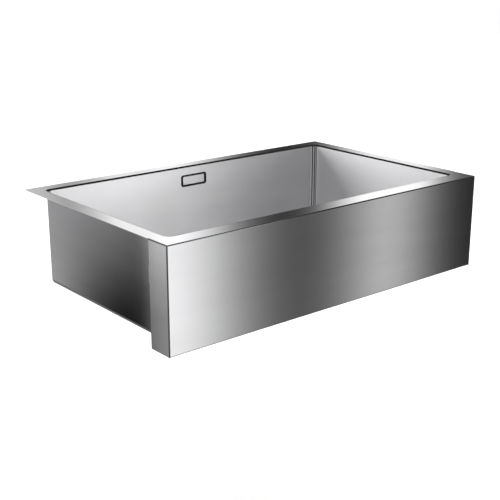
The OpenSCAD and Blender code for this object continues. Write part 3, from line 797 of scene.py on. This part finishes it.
# Overflow housing: a moulded plastic box with a flange round the slot, stiffened by gussets.
# Its two sockets take the cover's pins, and the pipe is pushed over the spigot under it.
def raise_plate(bm, corners, shift):
    raise_faces(bm, [bm.faces.new([bm.verts.new(corner) for corner in corners])], shift)


flange_width = 94
flange_height = 37
box_depth = 17
stud_x = 40
pipe_y = 232

bm = bmesh.new()
flange_border = open_up(bm, outline(bm, flange_width, flange_height, slot_r, (0, 0, 0), 5))
duct_border = open_up(bm, outline(bm, slot_width + 2, slot_height + 2, slot_r, (0, 0, 0), 5))
stud_holes = [hoop(bm, 2.2, (x, 0, 0), 20) for x in (-stud_x, stud_x)]
raise_faces(bm, fill(bm, flange_border, duct_border, *stud_holes), (0, 0, -3))
bmesh.ops.recalc_face_normals(bm, faces=bm.faces)
box = bmesh.new()
back_face = outline(box, 71.6, 28.6, 5.3, (0, 0, -box_depth), 5)
pull(box, list(back_face.edges), (0, 0, box_depth - 0.2))
bend(box, at_height(box.edges, -box_depth), 2.4, 4)
face_towards(box, 2, -1)
thicken(box, 1.8)
bm.from_mesh(stored(box, "overflow_box"))
socket = [(2.05, -15.6), (4, -15.6), (4, -7.8), (3.4, -7.2), (2.6, -7.2), (2.05, -7.8)]
for x in (-pin_x, pin_x):
    turned(bm, socket, 24, (x, 0, 0))
for x in (-27, -9, 9, 27):
    for side in (-1, 1):
        corners = [(x, side * 14, -2.8), (x, side * 18, -2.8), (x, side * 18, -3.6), (x, side * 14, -11)]
        raise_plate(bm, corners, (1.6, 0, 0))
move(bm, standing(0, 222.7, slot_z))
spigot = [(5.7, 0), (7.1, 0), (7.5, 0.7), (7.5, 20.3), (5.7, 20.3)]
turned(bm, spigot, 32, (0, pipe_y, -62.3))
finish_small(bm, "overflow_housing", "sink", "plastic")


# Studs and nuts: two threaded rods welded to the bowl's back, one at each side of the slot.
# Each has a plated hexagon nut that presses the housing and its gasket to the sheet.
def made_since(bm, before):
    return [point for point in bm.verts if point not in before]


def threaded_rod(bm, radius, depth, pitch, low, high, steps, bore=0):
    before = set(bm.verts)
    start = low - pitch
    root = radius - depth
    profile = ((root, 0), (root, 0.12), (radius, 0.5), (radius, 0.62), (root, 1))
    points = [bm.verts.new((from_axis, 0, start + pitch * share)) for from_axis, share in profile]
    lines = [bm.edges.new(pair) for pair in zip(points, points[1:])]
    turns = math.ceil((high - low) / pitch) + 2
    bmesh.ops.spin(
        bm, geom=points + lines, cent=(0, 0, 0), axis=(0, 0, 1), dvec=(0, 0, pitch / steps),
        angle=2 * math.pi * turns, steps=steps * turns, use_merge=False,
    )
    bmesh.ops.remove_doubles(bm, verts=made_since(bm, before), dist=0.002)
    for z, sign in ((low, -1), (high, 1)):
        points = made_since(bm, before)
        faces = list(dict.fromkeys(face for point in points for face in point.link_faces))
        bmesh.ops.bisect_plane(
            bm, geom=points + edges_at(points) + faces, plane_co=(0, 0, z), plane_no=(0, 0, sign),
            clear_outer=True,
        )
        end_border = open_at_height(edges_at(made_since(bm, before)), z)
        fill(bm, end_border, hoop(bm, bore, (0, 0, z), steps) if bore else [])
    if bore:
        bore_edges = [
            edge for edge in edges_at(made_since(bm, before))
            if len(edge.link_faces) == 1
            and all(math.hypot(end.co.x, end.co.y) < bore + 0.01 for end in edge.verts)
        ]
        bmesh.ops.bridge_loops(bm, edges=bore_edges)
    return made_since(bm, before)


def hexagon(bm, across_flats, low, high, bore=0, chamfer=0.5):
    before = set(bm.verts)
    sides = hoop(bm, across_flats / 2 / math.cos(math.radians(30)), (0, 0, low), 6)
    bore_edges = hoop(bm, bore, (0, 0, low), 24) if bore else []
    raise_faces(bm, fill(bm, sides, bore_edges), (0, 0, high - low))
    end_edges = [
        edge for edge in edges_at(made_since(bm, before))
        if all(math.hypot(end.co.x, end.co.y) > across_flats / 2 for end in edge.verts)
        and abs(edge.verts[0].co.z - edge.verts[1].co.z) < 0.001
    ]
    bend(bm, end_edges, chamfer, 2)
    return made_since(bm, before)


bm = bmesh.new()
studs = bmesh.new()
for x in (-stud_x, stud_x):
    nut = hexagon(bm, 7, 0, 3.2, 2.05, 0.35)
    move(bm, standing(x, 228.9, slot_z), nut)
    rod = threaded_rod(studs, 2, 0.3, 0.7, 0, 12, 20)
    move(studs, standing(x, 233.2, slot_z), rod)
finish_small(bm, "overflow_stud_nuts", "sink", "zinc")
finish_small(studs, "overflow_studs", "sink", "steel")


# Overflow pipe: a corrugated plastic hose with a plain cuff at each end, from the housing's spigot down
# the back wall and forward to the waste body. A band clip with its own screw tightens each cuff.
pipe_top = -50.3
pipe_bend = 24
pipe_drop = 141.5
pipe_turn = pipe_bend * math.pi / 2
pipe_run = 56
pipe_bore = 7.55
cuff = 9.3
valley = 8.5
ridge = 9.25
ridge_pitch = 3.6


def along_pipe(length):
    if length < pipe_drop:
        return Matrix.Translation((0, pipe_y, pipe_top - length))
    corner = Matrix.Translation((0, pipe_y - pipe_bend, pipe_top - pipe_drop))
    turned_by = min(length - pipe_drop, pipe_turn) / pipe_bend
    forward = max(length - pipe_drop - pipe_turn, 0)
    return corner @ Matrix.Rotation(-turned_by, 4, "X") @ Matrix.Translation((0, pipe_bend, -forward))


def hose_stations():
    whole = pipe_drop + pipe_turn + pipe_run
    stations = [(0, 9.0), (0.4, cuff), (13.5, cuff), (14, 8.6)]
    length = 15
    while length < whole - 18:
        ridge_steps = ((0, valley), (0.7, ridge), (2.1, ridge), (2.8, valley))
        stations += [(length + step, radius) for step, radius in ridge_steps]
        length += ridge_pitch
    stations += [(whole - 15, 8.6), (whole - 14.5, cuff), (whole - 0.4, cuff), (whole, 9.0)]
    return stations + [(whole * step / 40, pipe_bore) for step in range(40, -1, -1)]


bm = bmesh.new()
stations = hose_stations()
loop = hoop(bm, stations[0][1], (0, 0, 0), 28)
move(bm, along_pipe(0))
first_loop = loop
for (start, narrow), (end, wide) in zip(stations, stations[1:]):
    loop = pull(bm, loop, (0, 0, 0))
    onward = along_pipe(end) @ Matrix.Scale(wide / narrow, 4) @ along_pipe(start).inverted()
    move(bm, onward, ends_of(loop))
bmesh.ops.bridge_loops(bm, edges=first_loop + loop)
hose_grey = moulded("hose_grey", (0.05, 0.05, 0.052), 0.45, 500, 0.00001)
finish_small(bm, "overflow_pipe", "sink", "plastic", hose_grey)

inlet_z = -215.8

bm = bmesh.new()
band = [(9.35, 0), (10.2, 0), (10.3, 0.4), (10, 0.9), (10, 7.1), (10.3, 7.6), (10.2, 8), (9.35, 8)]
for matrix in (Matrix.Translation((0, pipe_y, pipe_top - 10)), standing(0, 162, inlet_z)):
    before = set(bm.verts)
    turned(bm, band, 48)
    block = bmesh.ops.create_cube(bm, size=1)["verts"]
    bmesh.ops.scale(bm, vec=(5.6, 7.4, 7.6), verts=block)
    bmesh.ops.translate(bm, vec=(12.3, 0, 4), verts=block)
    bend(bm, edges_at(block), 0.9, 3)
    shank = threaded_rod(bm, 2.3, 0.35, 0.9, -6, 5, 20)
    head = hexagon(bm, 5.6, 4.6, 8)
    move(bm, standing(12.6, 0, 4), shank + head)
    move(bm, matrix, made_since(bm, before))
finish_small(bm, "overflow_pipe_clips", "sink", "steel")


# Waste cup: pressed from 1 mm steel, its flange in the floor's recess on a rubber seal.
# The centre screw pulls it down on the plastic body, and six holes drain it.
def ring_of_holes(bm, count, spread, radius, steps):
    angles = [math.radians(360 / count * step) for step in range(count)]
    return [
        hoop(bm, radius, (spread * math.cos(angle), spread * math.sin(angle), 0), steps)
        for angle in angles
    ]


def at_waste(z):
    return Matrix.Translation((0, waste_y, z))


steel_cup = fine_metal("steel_polished_cup", (0.74, 0.74, 0.75), 0.12, 0.2)
cup_floor = -228.3
cup_depth = 34
cup_r = 41
drain_count = 6
drain_r = 5

bm = bmesh.new()
turned(bm, [
    (56.5, 33.55), (56.2, 33.9), (55.6, cup_depth), (43.4, cup_depth), (42.2, 33.7), (41.4, 33),
    (cup_r, 31.9), (cup_r, 3.5), (40.7, 1.9), (39.8, 0.7), (38.4, 0.1), (36.8, 0),
], 96, closed=False)
cup_border = open_at_height(bm.edges, 0)
screw_hole = hoop(bm, 3.2, (0, 0, 0), 24)
fill(bm, cup_border, screw_hole, *ring_of_holes(bm, drain_count, 15, drain_r, 24))
face_towards(bm, 2, 1)
thicken(bm, 1)
move(bm, at_waste(cup_floor))
finish_small(bm, "strainer_cup", "sink", "steel", steel_cup)


# Waste body: moulded plastic, a flange under the floor with gussets, a chamber, a cone and a side inlet
# for the overflow's pipe. A boss on four ribs takes the centre screw, and the outlet has a pipe thread.
def spoke(bm, side_view, thickness, angle):
    before = set(bm.verts)
    raise_plate(bm, [(x, -thickness / 2, z) for x, z in side_view], (0, thickness, 0))
    move(bm, Matrix.Rotation(math.radians(angle), 4, "Z"), made_since(bm, before))


outlet_z = -252
outlet_r = 23.9
outlet_bore = 20.5
outlet_length = 20
body_r = 50
body_bore = 47
body_height = 51
cone_height = 14

bm = bmesh.new()
turned(bm, [
    (56.4, 47), (57, 47.6), (57, 50.4), (56.4, body_height), (body_bore, body_height),
    (body_bore, cone_height), (outlet_bore, 0), (outlet_r, 0), (49.4, 12.8), (body_r, 14.6), (body_r, 47),
], 72)
turned(bm, [(body_r, 26), (51.2, 25.4), (51.2, 22.6), (body_r, 22), (49, 22), (49, 26)], 72)
turned(bm, [(3.2, 0), (7.4, 0), (8, 0.6), (8, 22), (7.4, 22.6), (3.2, 22.6)], 32)
for angle in (45, 135):
    spoke(bm, [(-48.4, cone_height), (48.4, cone_height), (22.4, 0.1), (-22.4, 0.1)], 3, angle)
for angle in range(15, 375, 30):
    spoke(bm, [(49.5, 47.2), (56, 47.2), (56, 46), (50.8, 38), (49.5, 38)], 2, angle)
before = set(bm.verts)
turned(bm, [(5.7, -64), (7.1, -64), (7.5, -63.4), (7.5, -48), (5.7, -48)], 32)
turned(bm, [(7, -51.6), (10, -51.6), (10.4, -51), (10.4, -48), (7, -48)], 32)
move(bm, standing(0, 0, inlet_z - outlet_z), made_since(bm, before))
move(bm, at_waste(outlet_z))
finish_small(bm, "waste_body", "sink", "plastic")

bm = bmesh.new()
threaded_rod(bm, outlet_r, 1.2, 2.3, -outlet_length, 0, 56, outlet_bore)
move(bm, at_waste(outlet_z))
finish_small(bm, "waste_tail", "sink", "plastic")


# Centre screw and nut: a steel screw with a slotted round head in the cup, and a brass nut under the boss.
# Together they clamp the bowl's floor and both seals between the cup and the waste body.
def whole_of(faces):
    edges = list(dict.fromkeys(edge for face in faces for edge in face.edges))
    points = list(dict.fromkeys(corner for face in faces for corner in face.verts))
    return faces + edges + points


def faces_above(bm, z):
    return [face for face in bm.faces if face.calc_center_median().z > z]


thread_tip = -7
thread_top = 12
head_foot = cup_floor - outlet_z
head_top = head_foot + 2.5
half_slot = 0.7

bm = bmesh.new()
threaded_rod(bm, 3, 0.45, 1, thread_tip, thread_top, 18)
turned(bm, [
    (0, thread_top - 0.5), (2.9, thread_top - 0.5), (2.9, head_foot), (5.6, head_foot),
    (6, head_foot + 0.4), (5.8, head_foot + 1.3), (4.8, head_foot + 2.1), (2.6, head_top), (0, head_top),
], 32, closed=False)
for side in (-1, 1):
    crown = whole_of(faces_above(bm, head_top - 0.3))
    bmesh.ops.bisect_plane(bm, geom=crown, plane_co=(half_slot * side, 0, 0), plane_no=(side, 0, 0))
crown = faces_above(bm, head_top - 0.3)
slot_faces = [face for face in crown if abs(face.calc_center_median().x) < half_slot]
raise_faces(bm, slot_faces, (0, 0, -1))
bmesh.ops.delete(bm, geom=[face for face in slot_faces if face.is_valid], context="FACES")
move(bm, at_waste(outlet_z))
finish_small(bm, "centre_screw", "sink", "steel")

bm = bmesh.new()
hexagon(bm, 10, -5, 0, 3.05)
move(bm, at_waste(outlet_z))
finish_small(bm, "centre_nut", "sink", "brass")


# Basket: pressed from 0.8 mm steel, its rim rolled outwards, with a row of twenty round holes in the wall
# and another in the floor. The wall is one flat piece a twentieth of a turn wide, rolled and repeated.
# A turned stem to lift it by and a rubber ring that stops the waste are fixed to its floor.
basket_t = 0.8
basket_r = 38
basket_low = -223
basket_height = 22
wall_low = 1.5
wall_high = 19
hole_count = 20
hole_r = 2
hole_height = 11

bm = bmesh.new()
cell_width = basket_r * math.radians(360 / hole_count)
cell_middle = (0, (wall_low + wall_high) / 2, 0)
cell_border = open_up(bm, outline(bm, cell_width, wall_high - wall_low, 0, cell_middle))
level_sides = [edge for edge in cell_border if abs(edge.verts[0].co.y - edge.verts[1].co.y) < 0.001]
bmesh.ops.subdivide_edges(bm, edges=level_sides, cuts=3)
cell_border = list(bm.edges)
fill(bm, cell_border, hoop(bm, hole_r, (0, hole_height, 0), 16))
for point in bm.verts:
    angle = point.co.x / basket_r
    point.co = (basket_r * math.cos(angle), basket_r * math.sin(angle), point.co.y)
bmesh.ops.spin(
    bm, geom=bm.verts[:] + bm.edges[:] + bm.faces[:], cent=(0, 0, 0), axis=(0, 0, 1),
    angle=math.radians(360 / hole_count * (hole_count - 1)), steps=hole_count - 1, use_duplicate=True,
)
turned(bm, [
    (basket_r, wall_high), (38.1, 20.6), (38.6, 21.6), (39.4, basket_height), (40, 21.7), (40.2, 21),
    (40, 20.2),
], 80, closed=False)
turned(bm, [(basket_r, wall_low), (37.6, 0.6), (36.9, 0.1), (36.2, 0)], 80, closed=False)
bmesh.ops.remove_doubles(bm, verts=bm.verts, dist=0.005)
basket_border = open_at_height(bm.edges, 0)
fill(bm, basket_border, *ring_of_holes(bm, hole_count, 32.5, hole_r, 16))
face_towards(bm, 2, -1)
thicken(bm, basket_t)
move(bm, at_waste(basket_low))
finish_small(bm, "basket", "strainer_basket", "steel", steel_cup)

bm = bmesh.new()
turned(bm, [
    (0, 0), (5.2, 0), (5.2, 0.8), (3.5, 1.4), (3.5, 18.8), (4.2, 20.6), (6, 21.8), (9.6, 22), (10.7, 22.6),
    (11, 23.8), (10.9, 25.6), (10.2, 26.9), (8.4, 27.6), (5, 27.95), (0, 28),
], 48, closed=False)
move(bm, at_waste(basket_low + basket_t))
finish_small(bm, "basket_stem", "strainer_basket", "steel", steel_cup)

bm = bmesh.new()
turned(bm, [
    (22, 0), (25.4, 0), (25.8, -0.4), (25.6, -1.6), (26, -2.8), (26.9, -3.9), (27, -4.6), (26.6, -4.9),
    (25.6, -4.5), (24.6, -3.9), (23.8, -4.4), (23.2, -5), (22.4, -4.8), (22, -4.2),
], 64)
move(bm, at_waste(basket_low))
finish_small(bm, "stopper_seal", "strainer_basket", "rubber")


# Clamps: six, welded to the bowl's outside. A folded steel bracket carries a hexagon-headed screw in its
# threaded collar. The screw lifts a washer and a toothed jaw that grips the worktop from below.
clamp_screw_y = 7
clamp_bore = 3.05
bracket_foot = -39.5
washer_z = -91.9
jaw_z = -90.3
jaw_width = 9.5
jaw_near_y = clamp_screw_y - jaw_width / 2
jaw_height = 36
finger_x = 18
tooth_steps = 8


def build_bracket(bm):
    path = [(-6.5, 0, -13.5), (-6.5, 0, bracket_foot), (-6.5, 12.5, bracket_foot)]
    folded_strip(bm, path, (13, 0, 0), (2.4,))
    round_off(bm, [corner for corner in outermost(bm, 2, 1).verts if corner.co.z > -14], 2, 3)
    round_off(bm, [corner for corner in outermost(bm, 1, 1).verts if corner.co.y > 12], 3, 4)
    ear_border = open_up(bm, outermost(bm, 1, 1))
    fill(bm, ear_border, hoop(bm, clamp_bore, (0, clamp_screw_y, bracket_foot), 24))
    face_towards(bm, 2, -1)
    thicken(bm, 1.5)
    collar = [(clamp_bore, -44.5), (4.6, -44.5), (5, -44.1), (5, -39.4), (clamp_bore, -39.4)]
    turned(bm, collar, 32, (0, clamp_screw_y, 0))


def build_washer(bm):
    turned(bm, [
        (clamp_bore, 0.1), (3.2, 0), (6.2, 0), (6.4, 0.2), (6.4, 1.3), (6.2, 1.5), (3.2, 1.5),
        (clamp_bore, 1.4),
    ], 40, (0, clamp_screw_y, washer_z))


def build_screw(bm):
    threaded_rod(bm, 3, 0.45, 1, -92.2, -37, 18)
    hexagon(bm, 10, -96, -92)
    bmesh.ops.inset_region(bm, faces=[outermost(bm, 2, -1)], thickness=1.3, depth=0)
    middles = {face: face.calc_center_median() for face in bm.faces}
    foot = min(bm.faces, key=lambda face: (round(middles[face].z, 3), abs(middles[face].x)))
    bmesh.ops.inset_region(bm, faces=[foot], thickness=0.5, depth=-0.7)
    bmesh.ops.translate(bm, vec=(0, clamp_screw_y, 0), verts=bm.verts)


def build_jaw(bm):
    foot = outline(bm, 22.75, jaw_width, 0, (6.625, clamp_screw_y, jaw_z))
    round_off(bm, [corner for corner in foot.verts if corner.co.x < 0], 4.7, 8)
    end = [edge for edge in bm.edges if all(corner.co.x > finger_x - 0.1 for corner in edge.verts)]
    pull(bm, end, (0, 0, jaw_height))
    bend(bm, end, 4, 5)
    for step in range(1, tooth_steps):
        upper = whole_of(faces_above(bm, -80))
        cut_y = jaw_near_y + jaw_width * step / tooth_steps
        bmesh.ops.bisect_plane(bm, geom=upper, plane_co=(0, cut_y, 0), plane_no=(0, 1, 0))
    top = [point for point in bm.verts if point.co.z > jaw_z + jaw_height - 0.1]
    teeth = [point for point in top if round((point.co.y - jaw_near_y) / jaw_width * tooth_steps) % 2]
    bmesh.ops.translate(bm, vec=(0, 0, -1.3), verts=teeth)
    flat = [face for face in bm.faces if face.calc_center_median().z < jaw_z + 0.1]
    foot_border = open_up(bm, max(flat, key=lambda face: face.calc_area()))
    fill(bm, foot_border, hoop(bm, clamp_bore, (0, clamp_screw_y, jaw_z), 24))
    face_towards(bm, 2, -1)
    thicken(bm, 2.5)


wall_gap_y = 221.2
wall_gap_x = 371.2
side_clamp_y = -186.5
clamps = (
    ("clamp_rear_1", (-290, wall_gap_y), 0, -1),
    ("clamp_rear_2", (-120, wall_gap_y), 0, -1),
    ("clamp_rear_3", (120, wall_gap_y), 0, 1),
    ("clamp_rear_4", (290, wall_gap_y), 0, 1),
    ("clamp_left", (-wall_gap_x, side_clamp_y), 90, 1),
    ("clamp_right", (wall_gap_x, side_clamp_y), -90, -1),
)
parts_of_clamp = (
    ("bracket", "", build_bracket, "zinc"),
    ("washer", "_carrier", build_washer, "zinc"),
    ("screw", "_spindle", build_screw, "steel"),
    ("jaw", "_arm", build_jaw, "zinc"),
)
models = {}
for part, body, build, slot in parts_of_clamp:
    bm = bmesh.new()
    build(bm)
    models[part] = stored(bm, "clamp_" + part)
for clamp, (x, y), angle, hand in clamps:
    for part, body, build, slot in parts_of_clamp:
        bm = bmesh.new()
        bm.from_mesh(models[part])
        mirrored = Matrix.Scale(hand if part == "jaw" else 1, 4, (1, 0, 0))
        turned_round = Matrix.Rotation(math.radians(angle), 4, "Z")
        move(bm, Matrix.Translation((x, y, 0)) @ turned_round @ mirrored)
        finish_small(bm, f"{clamp}_{part}", clamp + body if body else "sink", slot)


# Seals: a strip of black foam glued under the rim, which shows its cells, and flat rubber rings at the
# overflow, the cup and the waste body. Their CAD shapes are right, so they only take a finish.
def foam():
    material, tree, shader = plain_material("foam_black")
    cells = tree.nodes.new("ShaderNodeTexVoronoi")
    cells.inputs["Scale"].default_value = 1400
    link(tree, object_place(tree), cells.inputs["Vector"])
    depth = cells.outputs["Distance"]
    coat(tree, shader, depth, [(0.1, 0.012), (0.6, 0.04)], depth, 0.72, 0.92)
    bump(tree, shader, depth, 0.0002)
    return material


finish_of_seal = {
    "deck_seal": foam(),
    "overflow_gasket": finishes["rubber"],
    "cup_seal": finishes["rubber"],
    "body_seal": finishes["rubber"],
}
for name, finish in finish_of_seal.items():
    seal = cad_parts[name].data
    seal.materials.clear()
    seal.materials.append(finish)
